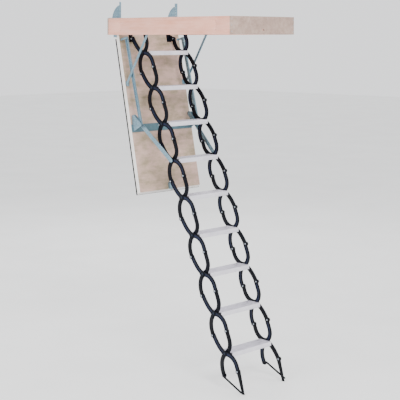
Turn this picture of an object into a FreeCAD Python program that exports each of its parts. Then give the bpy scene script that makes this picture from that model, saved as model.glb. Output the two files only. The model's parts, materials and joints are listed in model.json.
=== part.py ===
import FreeCAD, Part
import math
import os
import re

# Attic ladder: a shallow box frame for the ceiling opening, a hatch door that pivots in it, and a
# lazy-tongs ladder that is carried by the door. Millimetres and degrees.
# Origin: middle of the hinge end board's outer face, at the underside of the frame (ceiling plane).
# +X runs to the front end of the opening, Y runs along the steps, +Z is up.
# The ladder is drawn open: door hanging, tongs drawn out.

os.makedirs("parts", exist_ok=True)
doc = FreeCAD.newDocument("attic_ladder")
sheet = doc.addObject("Spreadsheet::Sheet", "Sizes")

SIZES = [
    # frame
    ("frame_length", 1163, "outer length of the frame"),
    ("frame_width", 600, "outer width of the frame"),
    ("frame_height", 114, "height of the frame boards"),
    ("board", 12, "thickness of the frame boards"),
    ("mount_hole", 3, "radius of the holes for joist screws"),
    ("mount_run", 900, "joist holes: distance along a side board"),
    ("mount_rise", 54, "joist holes: distance up a side board"),
    ("mount_low", 30, "joist holes: height of the lower row"),
    ("screw_shank", 2, "corner screw shank radius"),
    ("screw_head", 4, "corner screw head radius"),
    ("screw_long", 40, "corner screw length"),
    ("head_deep", 2, "thickness of a screw head"),
    # hatch door, drawn closed and then swung open
    ("door_gap", 3, "gap round the door in the frame"),
    ("door_open", 78.3, "angle through which the door swings"),
    ("core", 22, "thickness of the plywood core"),
    ("facing", 3, "thickness of the white sheet below the core"),
    ("edging", 2, "thickness of the white edging"),
    ("lap_drop", 1, "gap between the frame and the lap of the facing"),
    ("lap_side", 1.5, "how far the facing laps a side board"),
    ("lap_front", 7, "how far the facing laps the front board"),
    ("lap_start", 93, "distance from the frame's end to where the lap begins"),
    ("trim", 2, "width of the black trim round the lap"),
    ("trim_tall", 10, "height of the black trim"),
    ("pivot_inset", 70.6, "door pivot: distance from the frame's end"),
    ("pivot_height", -8, "door pivot: height above the ceiling plane"),
    ("pivot_pin", 3, "radius of the door pivot pin"),
    ("pivot_deep", 16, "how far the pivot pin reaches in from the side board"),
    ("plate", 2, "thickness of the pivot plate on the side board"),
    ("plate_back", 20, "pivot plate: length behind the pin"),
    ("plate_long", 32, "pivot plate: length"),
    ("plate_below", 8, "pivot plate: height below the pin"),
    ("plate_tall", 76, "pivot plate: height"),
    ("lug_face", 282, "pivot lug: distance of its outer face from the middle line"),
    ("lug_thick", 8, "pivot lug: thickness"),
    ("lug_long", 20, "pivot lug: length along the door"),
    ("lug_below", 8, "pivot lug: height below the pin"),
    ("running", 0.3, "radial clearance round a turning pin"),
    # hanging brackets on top of the side boards
    ("hanger_plane", 262, "hanger blade: distance from the middle line"),
    ("hanger_start", 9, "hanger: distance from the frame's end"),
    ("hanger_long", 90, "hanger: length along the frame"),
    ("hanger_rise", 112, "hanger: height above the boards"),
    ("hanger_strip", 16, "width of the perforated strip"),
    ("sheet_steel", 3, "thickness of the pressed steel parts"),
    ("hanger_hole", 3, "radius of a hole in the strip"),
    ("hanger_pitch", 19, "distance between the holes in the strip"),
    # rails, cross bar and brackets on the door
    ("rail_plane", 267, "rail: distance from the middle line"),
    ("rail_wide", 10, "rail channel width"),
    ("rail_tall", 24, "rail channel height"),
    ("rail_wall", 2, "rail channel wall"),
    ("rail_lift_start", 54.7, "rail: height of its upper end above the door"),
    ("rail_lift_end", 83.5, "rail: height of its lower end above the door"),
    ("rail_start", 95, "rail: distance of its upper end from the frame's end"),
    ("rail_end", 702, "rail: distance of its lower end from the frame's end"),
    ("upright_long", 14, "upper rail bracket: length along the door"),
    ("upright_foot", 14, "upper rail bracket: width of its foot"),
    ("bar_place", 714.5, "cross bar: distance of its middle from the frame's end"),
    ("bracket_margin", 12, "lower rail bracket: metal beyond the lever pin"),
    ("bracket_nose", 22, "lower rail bracket: height of its nose at the pin"),
    ("bracket_nose_low", 6, "lower rail bracket: height of the nose above the bar"),
    ("bracket_slant", 2, "lower rail bracket: lean of the nose"),
    ("bracket_inset", 5, "lower rail bracket: inset of its foot from the bar's edges"),
    ("lap_back", 10, "lower rail bracket: lap on the rail, before the rail's end"),
    ("lap_on", 7, "lower rail bracket: metal past the rail's end"),
    ("bracket_over", 8.5, "lower rail bracket: height above the rail's middle"),
    ("bar_tall", 53, "cross bar width along the door"),
    ("bar_deep", 5, "cross bar thickness"),
    ("bar_half", 283, "cross bar half length"),
    # stays between the side boards and the door
    ("stay_plane", 281, "stay: distance from the middle line"),
    ("stay_thick", 3, "stay thickness"),
    ("stay_wide", 18, "stay width"),
    ("stay_pin", 4, "radius of the stay pin"),
    ("stay_foot_run", 408.5, "stay pin on the door: distance from the frame's end"),
    ("stay_foot_lift", 14.8, "stay pin on the door: height above the door"),
    ("stay_top_run", 437, "stay roller: distance from the frame's end, door open"),
    ("stay_top_height", 93, "stay roller: height above the ceiling plane"),
    ("roller", 7, "roller radius"),
    ("groove_deep", 5, "depth of the roller groove in the side board"),
    ("groove_low", 71, "lower edge of the groove"),
    ("groove_high", 101, "upper edge of the groove"),
    ("groove_start", 425, "rear end of the groove"),
    ("groove_end", 912, "front end of the groove"),
    # tongs
    ("slope", 67.8, "slope of the open ladder below the level"),
    ("pitch", 254.6, "distance between crossings, open"),
    ("half_ring", 64, "distance of the ring joints from the line of crossings"),
    ("tong_inset", 103, "upper ladder pivot: distance from the frame's end"),
    ("tong_lift", 35.8, "upper ladder pivot: height above the door"),
    ("arm_wide", 28, "width of an arm"),
    ("arm_thick", 9, "thickness of an arm"),
    ("arm_rim", 6.5, "width of the raised rim of an arm"),
    ("arm_recess", 2.5, "depth of the channel between the rims"),
    ("arm_gap", 0.6, "gap between crossing arms"),
    ("inner_plane", 186, "inner face of the inner arms, from the middle line"),
    ("boss", 16, "radius of the boss at a crossing"),
    ("joint_pin", 5, "radius of the ring joint pins"),
    ("joint_head", 8, "radius of the ring joint heads"),
    ("head_thick", 2.5, "thickness of the joint heads"),
    ("step_pin", 6, "radius of the step pins"),
    ("step_pin_long", 34, "length of a step pin inside the step"),
    # steps
    ("step_deep", 100, "depth of a step"),
    ("step_thick", 28, "height of a step"),
    ("step_half", 184, "half length of a step"),
    ("step_above", 10, "height of the tread above its crossing"),
    ("step_wall", 2, "wall of the step extrusion"),
    ("step_web", 22, "width of the middle web of the step"),
    ("groove_count", 9, "ribbing: grooves in the tread"),
    ("groove_wide", 4, "ribbing: width of a groove"),
    ("groove_cut", 1, "ribbing: depth of a groove"),
    # levers from the cross bar to the fourth crossing
    ("lever_inset", 637.3, "lever pivot: distance from the frame's end"),
    ("lever_lift", 20, "lever pivot: height above the door"),
    ("lever_outer", 257, "lever at its pivot: distance from the middle line"),
    ("lever_inner", 212.5, "lever at the tongs: distance from the middle line"),
    ("lever_wide", 30, "lever width"),
    ("lever_thick", 4, "lever thickness"),
    ("lever_pin", 5, "lever pin radius"),
    # feet
    ("leg_run", 39, "foot leg: run from its joint to the floor"),
    ("leg_drop", 128, "foot leg: drop from its joint to the floor"),
    ("leg_end", 16, "width of the leg at the floor"),
    ("link_run", 36.3, "foot leg: run from its joint to the link's end"),
    ("link_drop", 119, "foot leg: drop from its joint to the link's end"),
    ("link_wide", 12, "width of the foot link"),
    ("link_thick", 4, "thickness of the foot link"),
    ("link_gap", 0.6, "gap between the foot link and the outer arms"),
    ("shoe_long", 20, "length of the rubber tip"),
    ("shoe_tall", 6, "height of the rubber tip"),
    # catch
    ("catch_long", 46, "catch case length along the door"),
    ("catch_wide", 40, "catch case width"),
    ("catch_tall", 16, "catch case height"),
    ("bolt_reach", 8, "how far the bolt reaches into the front board"),
    ("bolt_wide", 16, "bolt width"),
    ("bolt_tall", 8, "bolt height"),
    ("bolt_inside", 31, "length of the bolt inside its case"),
    ("bolt_draw", 12, "how far the bolt draws back"),
    ("bolt_play", 0.5, "play round the bolt"),
    ("foot_back", 40, "ladder bracket: foot behind the pin"),
    ("foot_front", 16, "ladder bracket: foot before the pin"),
    ("web_top_half", 13, "ladder bracket: half width of the web at the pin"),
    ("foot_wide", 34, "ladder bracket: width of the foot"),
    ("foot_plate", 4, "ladder bracket: thickness of the foot"),
    ("ear_long", 34, "stay ear: length"),
    ("ear_wide", 26, "stay ear: width of its foot"),
    ("ear_thick", 4, "stay ear: sheet thickness"),
    ("ear_over", 12, "stay ear: metal above its pin"),
    ("ear_gap", 0.5, "gap between a stay and its ear"),
    ("hanger_lip", 12, "hanger: width of its lip"),
]
STEP_COUNT = 9

for row, (alias, value, note) in enumerate(SIZES, start=1):
    sheet.set(f"A{row}", note)
    sheet.set(f"B{row}", str(value))
    sheet.setAlias(f"B{row}", alias)
doc.recompute()

size = {alias: float(sheet.get(alias)) for alias, value, note in SIZES}
ALIASES = {alias for alias, value, note in SIZES}


def formula(text):
    """Write the sheet's name before each size in an expression."""
    return re.sub(r"[a-z_]+", lambda word: "Sizes." + word.group() if word.group() in ALIASES
                  else word.group(), str(text))


def bind(piece, name, text):
    piece.setExpression(name, formula(text))


def put(piece, corner):
    for letter, text in zip("xyz", corner):
        bind(piece, "Placement.Base." + letter, text)
    return piece


def box(name, long, wide, tall, corner):
    piece = doc.addObject("Part::Box", name)
    for side, text in zip(("Length", "Width", "Height"), (long, wide, tall)):
        bind(piece, side, text)
    return put(piece, corner)


TURNS = {"x": FreeCAD.Rotation(FreeCAD.Vector(0, 1, 0), 90),
         "y": FreeCAD.Rotation(FreeCAD.Vector(1, 0, 0), -90),
         "z": FreeCAD.Rotation()}


def rod(name, radius, long, axis, start):
    """A cylinder from a start point along +x, +y or +z."""
    piece = doc.addObject("Part::Cylinder", name)
    bind(piece, "Radius", radius)
    bind(piece, "Height", long)
    piece.Placement.Rotation = TURNS[axis]
    return put(piece, start)


def group(name, pieces):
    piece = doc.addObject("Part::Compound", name)
    piece.Links = pieces
    return piece


def fuse(name, pieces):
    piece = doc.addObject("Part::MultiFuse", name)
    piece.Shapes = pieces
    return piece


def cut(name, base, tools):
    piece = doc.addObject("Part::Cut", name)
    piece.Base = base
    piece.Tool = tools[0] if len(tools) == 1 else group(name + "_tools", tools)
    return piece


def mirrored(name, source):
    """The same piece on the other side of the middle line."""
    piece = doc.addObject("Part::Mirroring", name)
    piece.Source = source
    piece.Normal = FreeCAD.Vector(0, 1, 0)
    return piece


def both_sides(name, source):
    """A piece on the -Y side and its twin on the +Y side."""
    return group(name, [source, mirrored(name + "_far", source)])


def shaped(name, shape):
    piece = doc.addObject("Part::Feature", name)
    piece.Shape = shape
    return piece


subparts = []


def keep(node, piece):
    piece.Label = node
    subparts.append(piece)
    return piece


OPENING = ("placement(vector(0; 0; 0); rotation(vector(0; 1; 0); door_open); "
           "vector(pivot_inset; 0; pivot_height))")


def keep_on_door(node, piece):
    """A piece drawn on the closed door, swung open about the door pivot."""
    carried = piece
    if piece.TypeId != "Part::Compound":
        carried = group(node + "_group", [piece])
    bind(carried, "Placement", OPENING)
    return keep(node, carried)


# ---------------------------------------------------------------- frame of the hatch
inside = "(frame_width / 2 - board)"


def corner_screws(name, start_x, shank_x, across):
    """Three countersunk screws through an end board into the end of a side board."""
    screws = []
    for number in range(3):
        height = f"frame_height * {(number + 0.5) / 3}"
        head = rod(f"{name}_head_{number}", "screw_head", "head_deep", "x", (start_x, across, height))
        shank = rod(f"{name}_shank_{number}", "screw_shank", "screw_long", "x", (shank_x, across, height))
        screws.append(fuse(f"{name}_{number}", [head, shank]))
    return screws


screws = []
for side, across in (("near", "-(frame_width - board) / 2"), ("far", "(frame_width - board) / 2")):
    screws += corner_screws("rear_" + side, "0", "0", across)
    screws += corner_screws("front_" + side, "frame_length - head_deep",
                            "frame_length - screw_long", across)
screw_group = keep("frame_screws", group("frame_screws", screws))


def side_board(node, outer, inner, groove):
    """A side board with joist holes, a roller groove and the corner screws' holes."""
    plain = box(node + "_plain", "frame_length - 2 * board", "board", "frame_height",
                ("board", outer, "0"))
    holes = []
    for column in (-0.5, 0.5):
        for level in (0, 1):
            place = (f"frame_length / 2 + mount_run * {column}", outer,
                     f"mount_low + mount_rise * {level}")
            holes.append(rod(f"{node}_hole_{column}_{level}", "mount_hole", "board", "y", place))
    track = box(node + "_groove", "groove_end - groove_start", "groove_deep",
                "groove_high - groove_low", ("groove_start", groove, "groove_low"))
    return keep(node, cut(node, plain, holes + [track, screw_group]))


side_board("left_side_board", "-frame_width / 2", "-" + inside, "-" + inside + " - groove_deep")
side_board("right_side_board", inside, inside, inside)

hinge_end = box("hinge_end_plain", "board", "frame_width", "frame_height", ("0", "-frame_width / 2", "0"))
keep("hinge_end_board", cut("hinge_end_board", hinge_end, [screw_group]))

front_end = box("front_end_plain", "board", "frame_width", "frame_height",
                ("frame_length - board", "-frame_width / 2", "0"))
bolt_height = "core - lap_drop + catch_tall / 2 - bolt_tall / 2"
mortise = box("bolt_mortise", "board", "bolt_wide + 2", "bolt_tall + 2",
              ("frame_length - board", "-bolt_wide / 2 - 1", bolt_height + " - 1"))
keep("front_end_board", cut("front_end_board", front_end, [screw_group, mortise]))

# pivot plates: flat plates on the side boards with the pins that the door turns on
plate = box("pivot_plate", "plate_long", "plate", "plate_tall",
            ("pivot_inset - plate_back", "-" + inside, "pivot_height - plate_below"))
pin = rod("pivot_pin", "pivot_pin", "pivot_deep", "y", ("pivot_inset", "-" + inside, "pivot_height"))
keep("door_pivot_plates", both_sides("door_pivot_plates", fuse("pivot_plate_and_pin", [plate, pin])))


def sheet_part(points, y, thick):
    """A flat plate drawn by its outline seen from the side, from y towards +y."""
    corners = [FreeCAD.Vector(x, y, z) for x, z in points]
    outline = Part.makePolygon(corners + corners[:1])
    return Part.Face(outline).extrude(FreeCAD.Vector(0, thick, 0))


def hanger_shape():
    """A blade with a curved gusset, a perforated strip and a foot on the board's top edge."""
    start = size["hanger_start"]
    end = start + size["hanger_long"]
    strip = end - size["hanger_strip"]
    low = size["frame_height"]
    high = low + size["hanger_rise"]
    gusset_high = low + 0.78 * size["hanger_rise"]
    plane = -size["hanger_plane"]

    def at(x, z):
        return FreeCAD.Vector(x, plane, z)

    back = Part.Arc(at(start, low), at(start + 0.2 * (strip - start), low + 0.5 * (gusset_high - low)),
                    at(strip - 10, gusset_high)).toShape()
    rest = Part.makePolygon([at(strip - 10, gusset_high), at(strip, gusset_high), at(strip, high),
                             at(end, high), at(end, low), at(start, low)])
    face = Part.Face(Part.Wire([back] + rest.Edges))
    blade = face.extrude(FreeCAD.Vector(0, -size["sheet_steel"], 0))
    count = int(size["hanger_rise"] // size["hanger_pitch"])
    for number in range(count):
        height = high - (number + 0.5) * size["hanger_pitch"]
        hole = Part.makeCylinder(size["hanger_hole"], 2 * size["sheet_steel"],
                                 at(end - size["hanger_strip"] / 2, height)
                                 + FreeCAD.Vector(0, size["sheet_steel"] / 2, 0),
                                 FreeCAD.Vector(0, -1, 0))
        blade = blade.cut(hole)
    lip = Part.makeBox(size["sheet_steel"], size["hanger_lip"], size["hanger_rise"],
                       FreeCAD.Vector(end - size["sheet_steel"], plane - size["hanger_lip"], low))
    foot_wide = size["frame_width"] / 2 - size["hanger_plane"]
    foot = Part.makeBox(size["hanger_long"], foot_wide, size["sheet_steel"],
                        FreeCAD.Vector(start, -size["frame_width"] / 2, low))
    return blade.fuse([lip, foot]).removeSplitter()


keep("hanging_brackets", both_sides("hanging_brackets", shaped("hanger", hanger_shape())))

# ---------------------------------------------------------------- hatch door, drawn closed
door_start = "(board + door_gap)"
door_end = "(frame_length - board - door_gap)"
door_half = "(frame_width / 2 - board - door_gap)"
door_top = "(core - lap_drop)"
door_face = size["core"] - size["lap_drop"]


def slab(name, start, end, half, low, tall):
    """A box from one distance along the door to another, the same width to both sides."""
    return box(name, f"{end} - {start}", f"2 * {half}", tall, (start, "-" + half, low))


core_start = f"({door_start} + edging)"
core_end = f"({door_end} - edging)"
core_half = f"({door_half} - edging)"
keep_on_door("door_panel", slab("core_board", core_start, core_end, core_half, "-lap_drop", "core"))

edge_outer = slab("edge_outer", door_start, door_end, door_half, "-lap_drop", "core")
edge_inner = slab("edge_inner", core_start, core_end, core_half, "-lap_drop", "core")
keep_on_door("door_edging", cut("door_edging_cut", edge_outer, [edge_inner]))

# the facing laps the frame in front of the pivots and carries the two pivot lugs
facing_low = "(-lap_drop - facing)"
lap_half = "(frame_width / 2 - board + lap_side)"
lap_end = "(frame_length - board + lap_front)"
facing_lap = slab("facing_lap", "lap_start", lap_end, lap_half, facing_low, "facing")
facing_rear = slab("facing_rear", door_start, "lap_start", door_half, facing_low, "facing")
lug = box("pivot_lug", "lug_long", "lug_thick", f"{facing_low} - pivot_height + lug_below",
          ("pivot_inset - lug_long / 2", "-lug_face", "pivot_height - lug_below"))
lug_bore = rod("pivot_lug_bore", "pivot_pin + running", "lug_thick", "y",
               ("pivot_inset", "-lug_face", "pivot_height"))
bored_lug = cut("bored_lug", lug, [lug_bore])
keep_on_door("door_facing", fuse("facing_fuse", [facing_lap, facing_rear, bored_lug,
                                                 mirrored("far_lug", bored_lug)]))

trim_low = "(-lap_drop - trim_tall)"
trim_outer = slab("trim_outer", "lap_start", f"({lap_end} + trim)", f"({lap_half} + trim)",
                  trim_low, "trim_tall")
trim_inner = slab("trim_inner", "lap_start", lap_end, lap_half, trim_low, "trim_tall")
keep_on_door("door_seal", cut("door_seal_cut", trim_outer, [trim_inner]))


def rail_shape():
    """A light channel that rises from the door towards its lower end, open to the outside."""
    ends = [(size["rail_start"], door_face + size["rail_lift_start"]),
            (size["rail_end"], door_face + size["rail_lift_end"])]
    outer = -size["rail_plane"] - size["rail_wide"] / 2

    def strip(half, y):
        low = [(x, z - half) for x, z in ends]
        high = [(x, z + half) for x, z in reversed(ends)]
        return sheet_part(low + high, y, size["rail_wide"])

    half = size["rail_tall"] / 2
    return strip(half, outer).cut(strip(half - size["rail_wall"], outer - size["rail_wall"]))


keep_on_door("door_rails", both_sides("door_rails", shaped("rail", rail_shape())))

# rail brackets: the upper pair stands on the door, the lower pair on the cross bar; all lap the
# rails' outer faces, and the lower pair carries the pins of the levers
bracket_face = "(rail_plane + rail_wide / 2 + sheet_steel)"
upright_blade = box("upright_blade", "upright_long", "sheet_steel", "rail_lift_start + rail_tall / 2",
                    ("rail_start", "-" + bracket_face, door_top))
upright_foot = box("upright_foot", "upright_long", "upright_foot", "sheet_steel",
                   ("rail_start", "-" + bracket_face, door_top))
upper_bracket = fuse("upper_bracket", [upright_blade, upright_foot])
bar_face = door_face + size["bar_deep"]


def bracket_outline():
    """The lower bracket: a foot on the bar, a lap on the rail's end and a nose round the lever pin."""
    bar_reach = size["bar_tall"] / 2 - size["bracket_inset"]
    top = door_face + size["rail_lift_end"] + size["bracket_over"]
    nose = size["lever_inset"] - size["bracket_margin"]
    nose_low = bar_face + size["bracket_nose_low"]
    return [(size["bar_place"] - bar_reach, bar_face), (size["bar_place"] + bar_reach, bar_face),
            (size["rail_end"] + size["lap_on"], top), (size["rail_end"] - size["lap_back"], top),
            (nose + size["bracket_slant"], nose_low + size["bracket_nose"]), (nose, nose_low)]


lower_plate = shaped("lower_bracket_plate",
                     sheet_part(bracket_outline(),
                                -size["rail_plane"] - size["rail_wide"] / 2 - size["sheet_steel"],
                                size["sheet_steel"]))
lever_pin = rod("lever_pin", "lever_pin",
                f"{bracket_face} - lever_outer + lever_thick / 2 + running", "y",
                ("lever_inset", "-" + bracket_face, door_top + " + lever_lift"))
lower_bracket = fuse("lower_bracket", [lower_plate, lever_pin])
keep_on_door("rail_brackets", group("rail_brackets", [upper_bracket, mirrored("upper_far", upper_bracket),
                                                      lower_bracket, mirrored("lower_far", lower_bracket)]))

keep_on_door("cross_bar", slab("cross_bar_plain", "(bar_place - bar_tall / 2)",
                               "(bar_place + bar_tall / 2)", "bar_half", door_top, "bar_deep"))

# ladder brackets: tapered plates that carry the upper ladder pins
def bracket_shape():
    x = size["tong_inset"]
    plane = -size["inner_plane"] - size["arm_thick"]

    def at(dx, z):
        return FreeCAD.Vector(x + dx, plane, z)

    eye = door_face + size["tong_lift"]
    outline = Part.makePolygon([at(-size["foot_back"], door_face), at(size["foot_front"], door_face),
                                at(size["web_top_half"], eye), at(-size["web_top_half"], eye),
                                at(-size["foot_back"], door_face)])
    web = Part.Face(outline).extrude(FreeCAD.Vector(0, size["arm_thick"], 0))
    head = Part.makeCylinder(size["arm_wide"] / 2, size["arm_thick"], at(0, eye),
                             FreeCAD.Vector(0, 1, 0))
    foot = Part.makeBox(size["foot_back"] + size["foot_front"], size["foot_wide"], size["foot_plate"],
                        at(-size["foot_back"], door_face))
    hole = Part.makeCylinder(size["joint_pin"] + size["running"], 3 * size["arm_thick"],
                             at(0, eye) - FreeCAD.Vector(0, size["arm_thick"], 0),
                             FreeCAD.Vector(0, 1, 0))
    return web.fuse([head, foot]).cut(hole).removeSplitter()


keep_on_door("ladder_brackets", both_sides("ladder_brackets", shaped("ladder_bracket", bracket_shape())))

# stay brackets: ears with the pins that the stays turn on
ear_plane = "-stay_plane + stay_thick / 2 + ear_gap"
stay_ear = box("stay_ear", "ear_long", "ear_thick", "stay_foot_lift + ear_over",
               ("stay_foot_run - ear_long / 2", ear_plane, door_top))
stay_foot = box("stay_ear_foot", "ear_long", "ear_wide", "ear_thick",
                ("stay_foot_run - ear_long / 2", ear_plane, door_top))
stay_pin = rod("stay_ear_pin", "stay_pin", "stay_thick + 2", "y",
               ("stay_foot_run", "-stay_plane - stay_thick / 2 - ear_gap", door_top + " + stay_foot_lift"))
keep_on_door("stay_brackets", both_sides("stay_brackets",
                                         fuse("stay_bracket", [stay_ear, stay_foot, stay_pin])))

# catch: a case on the door's front end with a sliding bolt
case_start = f"({door_end} - catch_long)"
case = box("case_plain", "catch_long", "catch_wide", "catch_tall",
           (case_start, "-catch_wide / 2", door_top))
bolt_start = f"({door_end} - bolt_inside)"
tunnel = box("bolt_tunnel", "bolt_inside + bolt_draw + 2 * bolt_play", "bolt_wide + 2 * bolt_play",
             "bolt_tall + 2 * bolt_play",
             (f"{bolt_start} - bolt_draw - bolt_play", "-bolt_wide / 2 - bolt_play",
              bolt_height + " - bolt_play"))
keep_on_door("catch_case", cut("catch_case_cut", case, [tunnel]))
keep_on_door("catch_bolt", box("bolt_plain", "bolt_inside + door_gap + bolt_reach", "bolt_wide",
                               "bolt_tall", (bolt_start, "-bolt_wide / 2", bolt_height)))


# ---------------------------------------------------------------- geometry of the open ladder
def opened(x, z):
    """Where a point of the closed door lies when the door hangs open."""
    turn = math.radians(size["door_open"])
    dx = x - size["pivot_inset"]
    dz = z - size["pivot_height"]
    return (size["pivot_inset"] + dx * math.cos(turn) + dz * math.sin(turn),
            size["pivot_height"] - dx * math.sin(turn) + dz * math.cos(turn))


slope = math.radians(size["slope"])
along = FreeCAD.Vector(math.cos(slope), 0, -math.sin(slope))
outward = FreeCAD.Vector(math.sin(slope), 0, math.cos(slope))
top_x, top_z = opened(size["tong_inset"], door_face + size["tong_lift"])
top_pivot = FreeCAD.Vector(top_x, 0, top_z)
first_crossing = top_pivot + along * (size["pitch"] / 2) + outward * size["half_ring"]


def crossing(number):
    return first_crossing + along * (size["pitch"] * (number - 1))


def ring_joint(number, front):
    """Ring joint below crossing number, on the front (+1) or the rear (-1) of the ladder."""
    return crossing(number) + along * (size["pitch"] / 2) + outward * (front * size["half_ring"])


def local(du, dv, y=0):
    """A point of an arm, from its crossing: along the ladder, out of it and across."""
    point = along * du + outward * dv
    return FreeCAD.Vector(point.x, y, point.z)


SAMPLES = 28


def curved_bar(points, wide, y, thick):
    """A bar of even width along a smooth line through points given along and out of the ladder."""
    line = Part.BSplineCurve()
    line.interpolate([local(du, dv, y) for du, dv in points])
    reach = line.LastParameter - line.FirstParameter
    left = []
    right = []
    for number in range(SAMPLES + 1):
        at = line.FirstParameter + reach * number / SAMPLES
        side = FreeCAD.Vector(0, 1, 0).cross(line.tangent(at)[0]).normalize() * (wide / 2)
        left.append(line.value(at) + side)
        right.append(line.value(at) - side)
    edges = []
    for points_of_side in (left, right):
        curve = Part.BSplineCurve()
        curve.interpolate(points_of_side)
        edges.append(curve.toShape())
    edges.append(Part.makeLine(left[0], right[0]))
    edges.append(Part.makeLine(left[-1], right[-1]))
    face = Part.Face(Part.Wire(Part.__sortEdges__(edges)))
    return face.extrude(FreeCAD.Vector(0, thick, 0))


def disc(point, radius, y, thick):
    return Part.makeCylinder(radius, thick, FreeCAD.Vector(point.x, y, point.z), FreeCAD.Vector(0, 1, 0))


# centre lines of an arm's halves, from the crossing to the squared end: how far along the ladder and
# how far out. The round halves run outside their joint and the flat halves run inside it.
DRAWN_HALF_PITCH = 127.3
DRAWN_HALF_RING = 64
ROUND_HALF = [(14, 27), (43, 56), (78, 69), (110, 70), (133, 69)]
FLAT_HALF = [(17, 15), (50, 33), (85, 45), (115, 52), (133, 55)]
INNER_UPPER_HALF = [(9, 24), (28, 46), (56, 58), (90, 60), (115, 60), (133, 60)]
INNER_LOWER_HALF = [(9, 20), (28, 43), (56, 60), (86, 68), (112, 69), (133, 68)]


def arm_shape(front, y, outer_face, upper_half, lower_half):
    """One cast arm about its crossing. It ends below at the front (+1) or at the rear (-1).

    Each half follows its own centre line. A round boss sits at the crossing and a round eye at each
    joint, and a channel runs along the outer face between two rims.
    """
    joint_u = size["pitch"] / 2
    joint_v = front * size["half_ring"]
    thick = size["arm_thick"]
    along_share = joint_u / DRAWN_HALF_PITCH
    out_share = joint_v / DRAWN_HALF_RING
    line = [(-du * along_share, -dv * out_share) for du, dv in reversed(upper_half)]
    line.append((0, 0))
    line += [(du * along_share, dv * out_share) for du, dv in lower_half]
    eye = size["arm_wide"] / 2 - 1
    centres = [(local(0, 0), size["boss"]), (local(-joint_u, -joint_v), eye),
               (local(joint_u, joint_v), eye)]
    arm = curved_bar(line, size["arm_wide"], y, thick)
    arm = arm.fuse([disc(point, radius, y, thick) for point, radius in centres])
    deep = size["arm_recess"]
    y_cut = y if outer_face < 0 else y + thick - deep
    channel = curved_bar(line, size["arm_wide"] - 2 * size["arm_rim"], y_cut, deep)
    lands = [disc(point, radius, y_cut, deep) for point, radius in centres]
    return arm.cut(channel.cut(Part.makeCompound(lands)))


outer_y = -(size["inner_plane"] + 2 * size["arm_thick"] + size["arm_gap"])
inner_y = -(size["inner_plane"] + size["arm_thick"])
pin_reach = size["arm_thick"] + size["arm_gap"]


def front_arm(upper_half, lower_half):
    """Outer arm, from the rear joint above to the front joint below, with its two joint pins."""
    arm = arm_shape(1, outer_y, -1, upper_half, lower_half)
    for sign in (-1, 1):
        joint = local(sign * size["pitch"] / 2, sign * size["half_ring"])
        inner = disc(joint, size["joint_pin"], outer_y + size["arm_thick"] / 2,
                     size["arm_thick"] / 2 + pin_reach)
        head = disc(joint, size["joint_head"], outer_y - size["head_thick"],
                    size["head_thick"] + size["arm_thick"] / 2)
        arm = arm.fuse([inner, head])
    bore = disc(local(0, 0), size["step_pin"] + size["running"], outer_y - 1, size["arm_thick"] + 2)
    return arm.cut(bore).removeSplitter()


def rear_arm():
    """Inner arm, from the front joint above to the rear joint below, with bores for the pins."""
    arm = arm_shape(-1, inner_y, 1, INNER_UPPER_HALF, INNER_LOWER_HALF)
    bores = [disc(local(0, 0), size["step_pin"] + size["running"], inner_y - 1, size["arm_thick"] + 2)]
    for sign in (-1, 1):
        joint = local(sign * size["pitch"] / 2, -sign * size["half_ring"])
        bores.append(disc(joint, size["joint_pin"] + size["running"], inner_y - 1,
                          size["arm_thick"] + 2))
    return arm.cut(Part.makeCompound(bores)).removeSplitter()


def keep_at(node, source, place):
    """A copy of a master piece at a point of the ladder."""
    piece = group(node, [source])
    piece.Placement.Base = place
    return keep(node, piece)


# the outer arms on the far side are turned end for end
near_front_arm = shaped("front_arm_near", front_arm(FLAT_HALF, ROUND_HALF))
turned_front_arm = shaped("front_arm_turned", front_arm(ROUND_HALF, FLAT_HALF))
front_arms = group("front_arm_pair", [near_front_arm, mirrored("front_arm_far", turned_front_arm)])
rear_arms = both_sides("rear_arm_pair", shaped("rear_arm_master", rear_arm()))

# step: a ribbed hollow extrusion with a bored middle web, drawn about its crossing
step_low = "(step_above - step_thick)"
step_block = box("step_block", "step_deep", "2 * step_half", "step_thick",
                 ("-step_deep / 2", "-step_half", step_low))
cavity_long = "(step_deep - step_web) / 2 - step_wall"
cavities = [box(f"step_cavity_{number}", cavity_long, "2 * step_half", "step_thick - 2 * step_wall",
                (start, "-step_half", step_low + " + step_wall"))
            for number, start in enumerate(("-step_deep / 2 + step_wall", "step_web / 2"))]
ribbing = []
for number in range(int(size["groove_count"])):
    share = (number + 0.5) / size["groove_count"]
    ribbing.append(box(f"step_rib_{number}", "groove_wide", "2 * step_half", "groove_cut",
                       (f"step_deep * {share} - step_deep / 2 - groove_wide / 2", "-step_half",
                        "step_above - groove_cut")))
step_bore = rod("step_bore", "step_pin", "2 * step_half", "y", ("0", "-step_half", "0"))
step = cut("step_master", step_block, cavities + ribbing + [step_bore])

pin_outer = "(inner_plane + 2 * arm_thick + arm_gap)"
step_shank = rod("step_shank", "step_pin", pin_outer + " - step_half + step_pin_long", "y",
                 ("0", f"-{pin_outer}", "0"))
step_head = rod("step_head", "joint_head", "head_thick", "y", ("0", f"-{pin_outer} - head_thick", "0"))
step_pins = both_sides("step_pin_pair", fuse("step_pin_master", [step_shank, step_head]))

for level in range(1, STEP_COUNT + 1):
    place = crossing(level)
    keep_at(f"front_arms_{level}", front_arms, place)
    keep_at(f"rear_arms_{level}", rear_arms, place)
    keep_at(f"step_{level}", step, place)
    keep_at(f"step_pins_{level}", step_pins, place)


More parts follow.
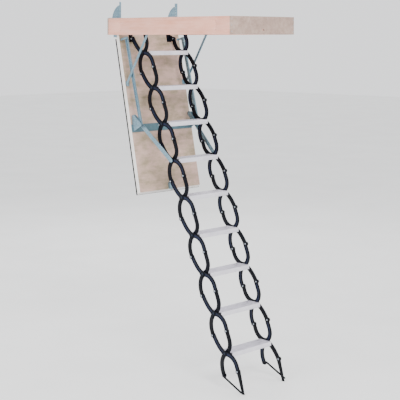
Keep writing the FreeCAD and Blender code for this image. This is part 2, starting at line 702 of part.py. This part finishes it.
# ---------------------------------------------------------------- levers, stays and feet
def bar_between(start, end, wide, thick, holes):
    """A flat bar with round ends between two points, bored for a pin at each end."""
    run = end - start
    bar = Part.makeBox(run.Length, thick, wide, FreeCAD.Vector(0, -thick / 2, -wide / 2))
    for place in (0, run.Length):
        bar = bar.fuse(Part.makeCylinder(wide / 2, thick, FreeCAD.Vector(place, -thick / 2, 0),
                                         FreeCAD.Vector(0, 1, 0)))
    for place, hole in zip((0, run.Length), holes):
        if hole:
            bar = bar.cut(Part.makeCylinder(hole, 2 * thick, FreeCAD.Vector(place, -thick, 0),
                                            FreeCAD.Vector(0, 1, 0)))
    yaw = FreeCAD.Rotation(FreeCAD.Vector(0, 0, 1), math.degrees(math.asin(run.y / run.Length)))
    dip = FreeCAD.Rotation(FreeCAD.Vector(0, 1, 0), math.degrees(math.atan2(-run.z, run.x)))
    bar = bar.removeSplitter()
    bar.Placement = FreeCAD.Placement(start, dip.multiply(yaw))
    return bar


lever_x, lever_z = opened(size["lever_inset"], door_face + size["lever_lift"])
lever_top = FreeCAD.Vector(lever_x, -size["lever_outer"], lever_z)
lever_end = crossing(4) + FreeCAD.Vector(0, -size["lever_inner"], 0)
lever_bar = bar_between(lever_top, lever_end, size["lever_wide"], size["lever_thick"],
                        (size["lever_pin"] + 3 * size["running"], 0))
keep("levers", both_sides("levers", shaped("lever", lever_bar)))

foot_x, foot_z = opened(size["stay_foot_run"], door_face + size["stay_foot_lift"])
stay_low = FreeCAD.Vector(foot_x, -size["stay_plane"], foot_z)
stay_high = FreeCAD.Vector(size["stay_top_run"], -size["stay_plane"], size["stay_top_height"])
stay_bar = bar_between(stay_low, stay_high, size["stay_wide"], size["stay_thick"],
                       (size["stay_pin"] + size["running"], size["stay_pin"]))
keep("stay_bars", both_sides("stay_bars", shaped("stay_bar", stay_bar)))

roller_face = "(frame_width / 2 - board - 5)"
roller_body = rod("roller_body", "roller", "groove_deep + 4", "y",
                  ("stay_top_run", f"-{roller_face} - groove_deep - 4", "stay_top_height"))
roller_stub = rod("roller_stub", "stay_pin", f"{roller_face} - stay_plane + stay_thick / 2 + 1", "y",
                  ("stay_top_run", f"-{roller_face}", "stay_top_height"))
keep("stay_rollers", both_sides("stay_rollers", fuse("stay_roller", [roller_body, roller_stub])))

knee = ring_joint(STEP_COUNT, 1)
toe = knee + FreeCAD.Vector(size["leg_run"], 0, -size["leg_drop"])
fall = (toe - knee).normalize()
across_leg = FreeCAD.Vector(-fall.z, 0, fall.x) * (size["arm_wide"] / 2)
leg_outline = [(knee.x + across_leg.x, knee.z + across_leg.z), (toe.x + size["leg_end"] / 2, toe.z),
               (toe.x - size["leg_end"] / 2, toe.z), (knee.x - across_leg.x, knee.z - across_leg.z)]
leg = sheet_part(leg_outline, inner_y, size["arm_thick"])
leg = leg.fuse(disc(knee, size["arm_wide"] / 2, inner_y, size["arm_thick"]))
leg = leg.cut(disc(knee, size["joint_pin"] + size["running"], inner_y - 1, size["arm_thick"] + 2))
keep("foot_legs", both_sides("foot_legs", shaped("foot_leg", leg.removeSplitter())))

shoe = Part.makeBox(size["shoe_long"], size["arm_thick"], size["shoe_tall"],
                    FreeCAD.Vector(toe.x - size["shoe_long"] / 2, inner_y, toe.z - size["shoe_tall"]))
keep("foot_shoes", both_sides("foot_shoes", shaped("foot_shoe", shoe)))

heel = ring_joint(STEP_COUNT, -1)
link_point = knee + FreeCAD.Vector(size["link_run"], 0, -size["link_drop"])
link_face = size["inner_plane"] + 2 * size["arm_thick"] + size["arm_gap"] + size["link_gap"]
link_y = -link_face - size["link_thick"] / 2
link_plane = FreeCAD.Vector(0, link_y, 0)
link = bar_between(heel + link_plane, link_point + link_plane, size["link_wide"], size["link_thick"], (0, 0))
link_pin = disc(heel, size["joint_pin"], link_y, -size["inner_plane"] - link_y)
keep("foot_links", both_sides("foot_links", shaped("foot_link", link.fuse(link_pin))))

# ---------------------------------------------------------------- check and write
doc.recompute()
for item in doc.Objects:
    faults = {"Invalid", "Error"} & set(item.State)
    if faults:
        raise RuntimeError(f"{item.Name}: {faults}")
if len(subparts) > 60:
    raise RuntimeError("too many sub-parts")
for piece in subparts:
    shape = piece.Shape
    if shape.isNull() or not shape.isValid() or not shape.Solids:
        raise RuntimeError(f"{piece.Label}: bad shape")
for piece in subparts:
    piece.Shape.exportStep(f"parts/{piece.Label}.step")
print(len(subparts), "sub-parts written")
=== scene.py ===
import math
import json
import bmesh
import bpy
from mathutils import Matrix, Vector


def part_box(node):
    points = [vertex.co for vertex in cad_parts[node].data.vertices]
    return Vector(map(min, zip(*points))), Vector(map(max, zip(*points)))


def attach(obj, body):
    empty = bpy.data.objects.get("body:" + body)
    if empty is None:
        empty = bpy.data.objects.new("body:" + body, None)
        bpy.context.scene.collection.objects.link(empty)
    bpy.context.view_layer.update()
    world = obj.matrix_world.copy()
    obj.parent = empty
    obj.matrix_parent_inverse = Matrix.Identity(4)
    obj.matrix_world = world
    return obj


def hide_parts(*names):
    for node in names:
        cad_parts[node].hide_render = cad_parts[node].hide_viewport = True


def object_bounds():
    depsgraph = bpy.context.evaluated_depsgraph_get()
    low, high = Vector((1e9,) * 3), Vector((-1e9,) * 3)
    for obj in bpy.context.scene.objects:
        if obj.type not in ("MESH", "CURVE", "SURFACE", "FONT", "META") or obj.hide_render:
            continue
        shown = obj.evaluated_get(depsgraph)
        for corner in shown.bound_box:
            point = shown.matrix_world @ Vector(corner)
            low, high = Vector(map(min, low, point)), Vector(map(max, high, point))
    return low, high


# %% [markdown]
# An attic ladder hangs in a shallow box in the ceiling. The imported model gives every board, arm and
# step in its true place, so the lesson begins by loading it and keeping the size of its box.

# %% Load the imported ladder
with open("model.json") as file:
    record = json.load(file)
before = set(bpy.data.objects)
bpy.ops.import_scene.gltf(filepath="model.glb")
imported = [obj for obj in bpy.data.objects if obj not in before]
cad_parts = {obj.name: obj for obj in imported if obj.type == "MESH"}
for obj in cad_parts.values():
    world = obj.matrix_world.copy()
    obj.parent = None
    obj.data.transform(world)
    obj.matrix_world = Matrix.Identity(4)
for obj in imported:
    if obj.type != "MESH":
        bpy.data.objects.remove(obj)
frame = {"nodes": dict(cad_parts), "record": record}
cad_low, cad_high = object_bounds()
nodes = frame["nodes"]
body_of_node = {}
for body_name, members in frame["record"]["behaviour"]["bodies"].items():
    for member in members:
        body_of_node[member] = body_name
STEP_COUNT = 9
LEVELS = range(1, STEP_COUNT + 1)
MM = 0.001

# %% [markdown]
# Paint and metal colours are written as hex numbers, the way a colour card gives them. Shaders mix
# light in linear values, so one function turns the card's values into linear ones.


# %% Colour helper
def card(code):
    """A hex colour as a linear RGBA value."""
    channels = [int(code[i:i + 2], 16) / 255 for i in (0, 2, 4)]
    linear = [c / 12.92 if c <= 0.04045 else ((c + 0.055) / 1.055) ** 2.4 for c in channels]
    return (*linear, 1.0)


print("chalk white", [round(c, 3) for c in card("F2F0EC")])

# %% [markdown]
# Every finish is a small node tree. One helper adds a node, sets its plain inputs and wires the
# linked ones, which keeps the recipes short enough to read as recipes.


# %% Node helpers
def add_node(material, kind, inputs=None, **settings):
    """Add a node; inputs may be plain values or output sockets."""
    node = material.node_tree.nodes.new(kind)
    for name, value in settings.items():
        setattr(node, name, value)
    for name, value in (inputs or {}).items():
        socket = node.inputs[name]
        if isinstance(value, bpy.types.NodeSocket):
            material.node_tree.links.new(value, socket)
        else:
            socket.default_value = value
    return node


def new_finish(name, **shader_values):
    """A material with one Principled shader whose even values sit on its own sockets."""
    material = bpy.data.materials.new(name)
    material.use_nodes = True
    shader = material.node_tree.nodes["Principled BSDF"]
    for socket, value in shader_values.items():
        shader.inputs[socket.replace("_", " ")].default_value = value
    return material, shader


def stretched(material, per_metre):
    """Object coordinates scaled so that one unit of pattern is a real length along each axis."""
    place = add_node(material, "ShaderNodeTexCoord")
    return add_node(material, "ShaderNodeMapping",
                    {"Vector": place.outputs["Object"], "Scale": per_metre}).outputs["Vector"]


def noise(material, per_metre, detail=4.0, roughness=0.55):
    """Cloudy noise; per_metre says how many blotches fit in a metre along x, y and z."""
    return add_node(material, "ShaderNodeTexNoise",
                    {"Vector": stretched(material, per_metre), "Scale": 1.0,
                     "Detail": detail, "Roughness": roughness}).outputs["Fac"]


def ramp(material, fac, *stops):
    """A colour ramp from (place, hex) pairs."""
    node = add_node(material, "ShaderNodeValToRGB", {"Fac": fac})
    steps = node.color_ramp.elements
    for index, (place, code) in enumerate(stops):
        step = steps[index] if index < 2 else steps.new(place)
        step.position = place
        step.color = card(code)
    return node.outputs["Color"]


def span(material, fac, low, high, start=0.3, end=0.7):
    """Map a pattern to a range of values."""
    return add_node(material, "ShaderNodeMapRange",
                    {"Value": fac, "From Min": start, "From Max": end,
                     "To Min": low, "To Max": high}).outputs["Result"]


def bump(material, shader, height, depth_mm, strength):
    """Raise the surface by a real depth in millimetres."""
    node = add_node(material, "ShaderNodeBump",
                    {"Height": height, "Distance": depth_mm * MM, "Strength": strength})
    material.node_tree.links.new(node.outputs["Normal"], shader.inputs["Normal"])


def feed(material, shader, socket, value):
    """Wire a pattern into one of the shader's sockets."""
    material.node_tree.links.new(value, shader.inputs[socket])


print("node helpers ready")

# %% [markdown]
# The frame boards are faced with a thin printed foil over chipboard: a salmon beige with faint streaks
# along the board and small paler flecks. Long thin noise gives the streaks; a little bump keeps the
# foil from looking like glass.


# %% Foil-faced board
def board_finish(name, dark, middle, pale):
    material, shader = new_finish(name, Roughness=0.5, Specular_IOR_Level=0.4)
    streaks = noise(material, (9.0, 60.0, 60.0), 6.0, 0.6)
    clouds = noise(material, (5.0, 9.0, 14.0), 3.0)
    both = add_node(material, "ShaderNodeMix", {0: 0.45, 2: streaks, 3: clouds}).outputs[0]
    feed(material, shader, "Base Color", ramp(material, both, (0.32, dark), (0.5, middle), (0.68, pale)))
    feed(material, shader, "Roughness", span(material, clouds, 0.42, 0.6))
    bump(material, shader, streaks, 0.12, 0.35)
    return material


side_foil = board_finish("side_foil", "D8957D", "E2A58F", "E9B4A1")
# The end boards take a darker, greyer copy of the same foil: painted shade, since the ends stand in
# shadow.
shaded_end_foil = board_finish("shaded_end_foil", "947A6E", "A68D80", "B8A195")
print("board finishes:", side_foil.name, shaded_end_foil.name)

# %% [markdown]
# The door is birch plywood. Its face is mottled: soft pinkish beige with olive-grey shadows that run
# a little across the sheet, over fine pores along the grain. Two noises of different stretch do it.

# %% Birch plywood
plywood, shader = new_finish("birch_plywood", Specular_IOR_Level=0.3)
mottle = noise(plywood, (7.0, 5.0, 9.0), 5.0, 0.6)
figure = noise(plywood, (26.0, 12.0, 40.0), 4.0)
pores = noise(plywood, (300.0, 420.0, 24.0), 2.0)
mixed = add_node(plywood, "ShaderNodeMix", {0: 0.3, 2: mottle, 3: figure}).outputs[0]
mixed = add_node(plywood, "ShaderNodeMix", {0: 0.12, 2: mixed, 3: pores}).outputs[0]
feed(plywood, shader, "Base Color",
     ramp(plywood, mixed, (0.34, "7E7459"), (0.45, "A8947F"), (0.55, "C4A597"), (0.66, "D3B4A7")))
feed(plywood, shader, "Roughness", span(plywood, mixed, 0.5, 0.66))
bump(plywood, shader, pores, 0.12, 0.25)
print("plywood ready")


# %% [markdown]
# The sheet and the edging are white painted surfaces with a fine orange peel. Dust and handling leave
# them very slightly uneven, which shows as faint clouds.


# %% White paint
def white_paint(name, shade, white, roughness):
    material, shader = new_finish(name, Specular_IOR_Level=0.45)
    clouds = noise(material, (6.0, 6.0, 6.0), 3.0)
    peel = noise(material, (700.0, 700.0, 700.0), 1.0)
    feed(material, shader, "Base Color", ramp(material, clouds, (0.3, shade), (0.7, white)))
    feed(material, shader, "Roughness", span(material, clouds, roughness - 0.05, roughness + 0.07))
    bump(material, shader, peel, 0.06, 0.25)
    return material


white_sheet = white_paint("white_sheet_paint", "DEDBD8", "ECEAE7", 0.38)
white_edge = white_paint("white_edging", "E2DEDA", "F1EEEA", 0.45)
print("white paints ready")


# %% [markdown]
# Rubber is almost black, matt, and a little dusty on its grain.


# %% Rubber
rubber, shader = new_finish("black_rubber", Specular_IOR_Level=0.1)
dust = noise(rubber, (40.0, 40.0, 40.0), 4.0)
grain = noise(rubber, (1800.0, 1800.0, 1800.0), 1.0)
feed(rubber, shader, "Base Color", ramp(rubber, dust, (0.3, "060607"), (0.75, "121214")))
feed(rubber, shader, "Roughness", span(rubber, dust, 0.62, 0.8))
bump(rubber, shader, grain, 0.05, 0.4)
print("rubber ready")


# %% [markdown]
# Galvanised steel shows its zinc crystals as pale and dark spangles a few millimetres across. Voronoi
# cells give each spangle its own tint and gloss.


# %% Zinc and plated steel
def zinc(name, dark, pale, cells, low_gloss, high_gloss):
    material, shader = new_finish(name, Metallic=0.85)
    spangle = add_node(material, "ShaderNodeTexVoronoi",
                       {"Vector": stretched(material, (cells, cells, cells)), "Scale": 1.0})
    tone = add_node(material, "ShaderNodeSeparateColor", {"Color": spangle.outputs["Color"]}).outputs[0]
    clouds = noise(material, (14.0, 14.0, 14.0), 3.0)
    mix = add_node(material, "ShaderNodeMix", {0: 0.5, 2: tone, 3: clouds}).outputs[0]
    feed(material, shader, "Base Color", ramp(material, mix, (0.2, dark), (0.8, pale)))
    feed(material, shader, "Roughness", span(material, mix, low_gloss, high_gloss, 0.2, 0.8))
    bump(material, shader, mix, 0.03, 0.3)
    return material


galvanised = zinc("galvanised_steel", "5F7F90", "97B1BE", 260.0, 0.36, 0.52)
zinc_screw = zinc("zinc_screws", "9A9C9E", "C6C8CA", 900.0, 0.3, 0.42)
bright_pin = zinc("bright_pins", "7F868F", "B4BBC4", 700.0, 0.25, 0.4)
dark_pin = zinc("blued_pins", "1A1F2A", "343C4A", 700.0, 0.3, 0.45)
print("zinc finishes ready")


# %% [markdown]
# The arms are cast aluminium under a near-black, slightly blue powder coat. Powder coat has a fine
# pebbled skin and a soft gloss.

# %% Black powder coat
black_coat, shader = new_finish("black_powder_coat", Specular_IOR_Level=0.12)
clouds = noise(black_coat, (30.0, 30.0, 30.0), 4.0)
pebble = noise(black_coat, (1100.0, 1100.0, 1100.0), 2.0)
feed(black_coat, shader, "Base Color", ramp(black_coat, clouds, (0.3, "020309"), (0.7, "060914")))
feed(black_coat, shader, "Roughness", span(black_coat, clouds, 0.4, 0.52))
bump(black_coat, shader, pebble, 0.05, 0.5)
print("powder coat ready")

# %% [markdown]
# The steps are extruded aluminium. Extruding draws fine lines along the profile, so the noise is
# stretched along the step and very tight across it.

# %% Extruded aluminium
step_metal, shader = new_finish("extruded_aluminium", Metallic=0.55, Specular_IOR_Level=0.5)
lines = noise(step_metal, (1500.0, 5.0, 1500.0), 2.0)
clouds = noise(step_metal, (9.0, 9.0, 9.0), 3.0)
mix = add_node(step_metal, "ShaderNodeMix", {0: 0.6, 2: lines, 3: clouds}).outputs[0]
feed(step_metal, shader, "Base Color", ramp(step_metal, mix, (0.3, "D3CFDA"), (0.7, "F3F0F6")))
feed(step_metal, shader, "Roughness", span(step_metal, mix, 0.34, 0.48))
bump(step_metal, shader, lines, 0.04, 0.4)
tread_metal, shader = new_finish("ribbed_tread", Metallic=0.4, Specular_IOR_Level=0.4)
lines = noise(tread_metal, (220.0, 4.0, 220.0), 3.0)
scuffs = noise(tread_metal, (60.0, 22.0, 60.0), 5.0)
mix = add_node(tread_metal, "ShaderNodeMix", {0: 0.5, 2: lines, 3: scuffs}).outputs[0]
feed(tread_metal, shader, "Base Color", ramp(tread_metal, mix, (0.35, "8F8B98"), (0.65, "C9C5D0")))
feed(tread_metal, shader, "Roughness", span(tread_metal, mix, 0.4, 0.58))
bump(tread_metal, shader, mix, 0.08, 0.5)
print("step metal ready")

# %% [markdown]
# The cross bar wears a satin teal enamel.

# %% Teal enamel
teal, shader = new_finish("teal_enamel", Specular_IOR_Level=0.5)
clouds = noise(teal, (20.0, 20.0, 20.0), 4.0)
peel = noise(teal, (900.0, 900.0, 900.0), 1.0)
feed(teal, shader, "Base Color", ramp(teal, clouds, (0.3, "3F5C66"), (0.7, "50707A")))
feed(teal, shader, "Roughness", span(teal, clouds, 0.36, 0.5))
bump(teal, shader, peel, 0.05, 0.3)
print("teal ready")

# %% [markdown]
# Each node of the imported model names a finish slot. A table from slot to material dresses the whole
# ladder in one pass; the front and hinge end boards get the darker, greyer copy of the foil, which is
# painted shade on the end boards.

# %% Dress the imported nodes
FINISH = {"board": side_foil, "door_board": plywood, "white_edge": white_edge, "white_sheet": white_sheet,
          "rubber": rubber, "galvanised": galvanised, "zinc_screw": zinc_screw, "black_arm": black_coat,
          "step_aluminium": step_metal, "bright_pin": dark_pin, "teal_bar": teal}
slot_of_node = {part["node"]: part["material_slot"] for part in frame["record"]["subparts"]}


def finish_for(node):
    return shaded_end_foil if node in ("front_end_board", "hinge_end_board") else FINISH[slot_of_node[node]]


for node, thing in nodes.items():
    if not thing.material_slots:
        thing.data.materials.append(None)
    for material_slot in thing.material_slots:
        material_slot.material = finish_for(node)
print("dressed", len(nodes), "nodes")

# %% [markdown]
# Real metal never ends in a razor edge. A copy of a part's mesh is merged, its flat faces are joined,
# and a live Bevel rounds every sharp edge by the part's own radius, so each edge catches the light.


# %% Softened copies of hard parts
WELD_MM = 0.01
FLAT_ANGLE = math.radians(0.6)
SHARP_ANGLE = math.radians(30)


def softened(node, radius_mm, segments=2):
    """A copy of a part whose sharp edges are rounded by a real radius."""
    shape = bmesh.new()
    shape.from_mesh(nodes[node].data)
    bmesh.ops.remove_doubles(shape, verts=shape.verts, dist=WELD_MM * MM)
    bmesh.ops.dissolve_limit(shape, angle_limit=FLAT_ANGLE, verts=shape.verts,
                             edges=shape.edges, delimit={"NORMAL"})
    mesh = bpy.data.meshes.new(node + "_soft")
    shape.to_mesh(mesh)
    shape.free()
    for face in mesh.polygons:
        face.use_smooth = True
    mesh.materials.clear()
    mesh.materials.append(finish_for(node))
    piece = bpy.data.objects.new(node + "_soft", mesh)
    bpy.context.scene.collection.objects.link(piece)
    edge = piece.modifiers.new("edge", "BEVEL")
    edge.width = radius_mm * MM
    edge.segments = segments
    edge.limit_method = "ANGLE"
    edge.angle_limit = SHARP_ANGLE
    edge.harden_normals = True
    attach(piece, body_of_node[node])
    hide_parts(node)
    return piece


EDGE_RADII = {"left_side_board": 0.6, "right_side_board": 0.6, "hinge_end_board": 0.6,
              "front_end_board": 0.6, "door_edging": 0.5, "door_rails": 0.5, "cross_bar": 0.8,
              "rail_brackets": 0.5, "hanging_brackets": 0.5, "stay_bars": 0.5, "levers": 0.7,
              "catch_case": 1.0, "ladder_brackets": 0.6, "foot_legs": 1.0, "foot_links": 0.8,
              "foot_shoes": 0.8, "stay_brackets": 0.5}
for level in LEVELS:
    EDGE_RADII[f"front_arms_{level}"] = 0.9
    EDGE_RADII[f"rear_arms_{level}"] = 0.9
    EDGE_RADII[f"step_{level}"] = 0.3
softened_pieces = {node: softened(node, radius) for node, radius in EDGE_RADII.items()}
print(len(softened_pieces), "parts have rounded edges")

# %% [markdown]
# Every face of a step that looks up gets a duller, greyer metal than the front nosing.

# %% Greyer tops on the treads
FACES_UP = 0.9
for level in LEVELS:
    tread = softened_pieces[f"step_{level}"].data
    tread.materials.append(tread_metal)
    for face in tread.polygons:
        if face.normal.z > FACES_UP:
            face.material_index = 1
print("treads worn on", STEP_COUNT, "steps")

# %% [markdown]
# The channel down each arm is painted paler and bluer than the raised rims: a painted highlight along the
# recess. The channel's floor is the set of flat faces that lie one recess deep below the arm's outer
# face, so they are found by their height and given a second finish.

# %% Painted highlight in the arm channels
ARM_RECESS = 2.5
FACES_ASIDE = 0.99
LEVEL_SLACK = 0.06
# The paler, bluer colour of the channels is a painted highlight on the same black coat.
channel_highlight, shader = new_finish("channel_highlight", Specular_IOR_Level=0.2)
clouds = noise(channel_highlight, (40.0, 40.0, 40.0), 4.0)
pebble = noise(channel_highlight, (900.0, 900.0, 900.0), 2.0)
feed(channel_highlight, shader, "Base Color", ramp(channel_highlight, clouds, (0.3, "0A1022"), (0.7, "18213C")))
feed(channel_highlight, shader, "Roughness", span(channel_highlight, clouds, 0.35, 0.5))
bump(channel_highlight, shader, pebble, 0.06, 0.5)


def paint_channels(node):
    """Give the recessed faces of an arm pair the painted highlight finish."""
    mesh = softened_pieces[node].data
    mesh.materials.append(channel_highlight)
    painted = 0
    for face in mesh.polygons:
        below = abs(abs(face.center.y) / MM - levels_of[node])
        if abs(face.normal.y) > FACES_ASIDE and abs(below - ARM_RECESS) < LEVEL_SLACK:
            face.material_index = 1
            painted += 1
    return painted


ARM_THICK = 9.0
inner_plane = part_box("ladder_brackets")[1].y / MM - ARM_THICK
ARM_GAP = 0.6
levels_of = {}
for level in LEVELS:
    levels_of[f"front_arms_{level}"] = inner_plane + 2 * ARM_THICK + ARM_GAP
    levels_of[f"rear_arms_{level}"] = inner_plane
for arm in levels_of:
    painted = paint_channels(arm)
print("channel faces on the last arm pair:", painted)

# %% [markdown]
# Every joint of the tongs is held by a riveted stud whose head shows as a small bright dome, and every
# step hangs on a darker, larger one. A dome is a quarter circle spun round the joint's axis.


# %% Rivet heads
def dome_profile(radius, rise, rings=6):
    """Points of a quarter arc from the rim to the top, as (radius, height)."""
    return [(radius * math.cos(turn), rise * math.sin(turn))
            for turn in (math.radians(90) * ring / rings for ring in range(rings + 1))]


def add_dome(shape, centre, side, radius, rise, steps=20):
    """Spin a dome whose flat side lies at the centre and whose top points to one side of the ladder."""
    start = []
    for out, up in dome_profile(radius, rise):
        start.append(shape.verts.new(centre + Vector((out, side * up, 0))))
    edges = [shape.edges.new(pair) for pair in zip(start, start[1:])]
    bmesh.ops.spin(shape, geom=start + edges, cent=centre, axis=(0, 1, 0), angle=math.radians(360),
                   steps=steps, use_merge=True)


def finish_piece(name, shape, material, body):
    """Weld, face outwards, name, dress and mount a finished bmesh."""
    bmesh.ops.remove_doubles(shape, verts=shape.verts, dist=0.005 * MM)
    bmesh.ops.recalc_face_normals(shape, faces=shape.faces)
    mesh = bpy.data.meshes.new(name)
    shape.to_mesh(mesh)
    shape.free()
    for face in mesh.polygons:
        face.use_smooth = True
    mesh.materials.append(material)
    piece = bpy.data.objects.new(name, mesh)
    bpy.context.scene.collection.objects.link(piece)
    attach(piece, body)


OUTER_HEAD = {"proud": 0.0024, "radius": 0.0062}
INNER_HEAD = {"proud": 0.0004, "radius": 0.0056}
HEAD_RISE = 0.002
SLOPE = math.radians(67.8)
PITCH = 0.2546
HALF_RING = 0.064
along = Vector((math.cos(SLOPE), 0, -math.sin(SLOPE)))
outward = Vector((math.sin(SLOPE), 0, math.cos(SLOPE)))
pin_low, pin_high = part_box("step_pins_1")
first_crossing = (pin_low + pin_high) / 2
OUTER_FACE = (inner_plane + 2 * ARM_THICK + ARM_GAP) * MM


def crossing(level):
    return first_crossing + along * (PITCH * (level - 1))


for level in LEVELS:
    studs = bmesh.new()
    for half in (-1, 1):
        joint = crossing(level) + (along * PITCH / 2 + outward * HALF_RING) * half
        for side in (-1, 1):
            head_face = Vector((joint.x, side * (OUTER_FACE + OUTER_HEAD["proud"]), joint.z))
            add_dome(studs, head_face, side, OUTER_HEAD["radius"], HEAD_RISE)
            inner_face = Vector((joint.x, side * (inner_plane * MM + INNER_HEAD["proud"]), joint.z))
            add_dome(studs, inner_face, -side, INNER_HEAD["radius"], HEAD_RISE)
    finish_piece(f"stud_heads_{level}", studs, bright_pin, f"front_arms_{level}")
print("stud heads on", STEP_COUNT, "arm pairs")

# %% [markdown]
# A plain pale floor lies just under the feet.

# %% Floor
FLOOR_DROP = 0.0005
FLOOR_HALF = 30
floor_shape = bmesh.new()
bmesh.ops.create_grid(floor_shape, x_segments=1, y_segments=1, size=FLOOR_HALF,
                      matrix=Matrix.Translation((0, 0, cad_low.z - FLOOR_DROP)))
floor_mesh = bpy.data.meshes.new("studio_floor")
floor_shape.to_mesh(floor_mesh)
floor_shape.free()
floor = bpy.data.objects.new("studio_floor", floor_mesh)
bpy.context.scene.collection.objects.link(floor)
floor_paint, shader = new_finish("floor_paint", Specular_IOR_Level=0.2)
clouds = noise(floor_paint, (1.5, 1.5, 1.5), 2.0)
feed(floor_paint, shader, "Base Color", ramp(floor_paint, clouds, (0.3, "F1F1F0"), (0.7, "F6F6F5")))
feed(floor_paint, shader, "Roughness", span(floor_paint, clouds, 0.8, 0.9))
floor_mesh.materials.append(floor_paint)
print("floor at", round(cad_low.z, 3))

# %% [markdown]
# Three big soft lamps and a pale surround light the ladder as a studio would.


# %% Lamps and surroundings
LADDER_MIDDLE = (0.55, 0.0, -1.0)


def lamp(name, place, size, watts):
    """A round soft lamp that faces the middle of the ladder."""
    light = bpy.data.lights.new(name, "AREA")
    light.shape = "DISK"
    light.size = size
    light.energy = watts
    thing = bpy.data.objects.new(name, light)
    aim = Vector(LADDER_MIDDLE) - Vector(place)
    thing.location = place
    thing.rotation_euler = aim.to_track_quat("-Z", "Y").to_euler()
    bpy.context.scene.collection.objects.link(thing)


lamp("key_lamp", (5.5, -2.0, 2.6), 2.4, 260)
lamp("fill_lamp", (1.0, -6.0, 0.8), 3.5, 130)
lamp("back_lamp", (-4.0, 3.0, 2.5), 3.0, 150)
world = bpy.data.worlds.new("studio")
bpy.context.scene.world = world
world.use_nodes = True
world.node_tree.nodes["Background"].inputs["Color"].default_value = card("F7F8FA")
world.node_tree.nodes["Background"].inputs["Strength"].default_value = 1.6
print("studio lit")

# %% [markdown]
# The camera stands well back, just below the ceiling line, and looks across the opening from its front
# corner. A long lens keeps the steps nearly parallel, and a drop of the film keeps uprights upright.

# %% Camera
camera_data = bpy.data.cameras.new("camera")
camera_data.lens = 99.1
camera_data.sensor_width = 36.0
camera_data.shift_y = -0.402
camera_data.clip_end = 60
camera = bpy.data.objects.new("camera", camera_data)
camera.location = (5.778, -5.2323, -0.0299)
camera.rotation_euler = (math.radians(90), 0, math.radians(44.71))
bpy.context.scene.collection.objects.link(camera)
bpy.context.scene.camera = camera
print("camera at", tuple(round(c, 2) for c in camera.location))

# %% [markdown] Finish

print("scene ready")
